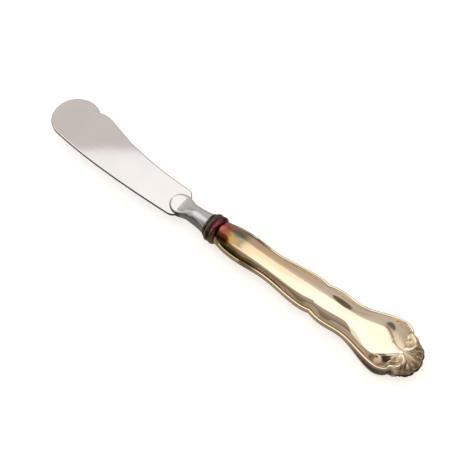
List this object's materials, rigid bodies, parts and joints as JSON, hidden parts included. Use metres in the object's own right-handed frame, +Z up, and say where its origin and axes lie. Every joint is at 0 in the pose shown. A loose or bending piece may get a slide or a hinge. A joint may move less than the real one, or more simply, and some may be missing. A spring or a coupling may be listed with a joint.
{
  "type": "butter knife",
  "caption": "Butter knife with a notched, round-tipped steel blade, a ringed ferrule and a hollow silver handle with a beaded, cusped rim and a fluted fan at the butt.",
  "frame": {"origin": "under the middle of the part's box, at the height of the surface it lies on", "axes": "+X along the handle towards the butt, +Y towards the notched back of the blade, +Z up out of the face shown in the picture"},
  "size_m": [0.1522, 0.0228, 0.01],
  "materials": {
    "blade_steel": "polished stainless steel",
    "ferrule_silver": "polished silver with a dark tarnish",
    "handle_silver": "polished silver, tarnished towards the ferrule",
    "solder": "filed silver solder",
    "cement": "set cement"
  },
  "bodies": {
    "root": {"blade": "blade_steel", "ferrule": "ferrule_silver", "handle_front_shell": "handle_silver", "handle_back_shell": "handle_silver", "seam_solder": "solder", "filler_core": "cement"}
  },
  "joints": []
}
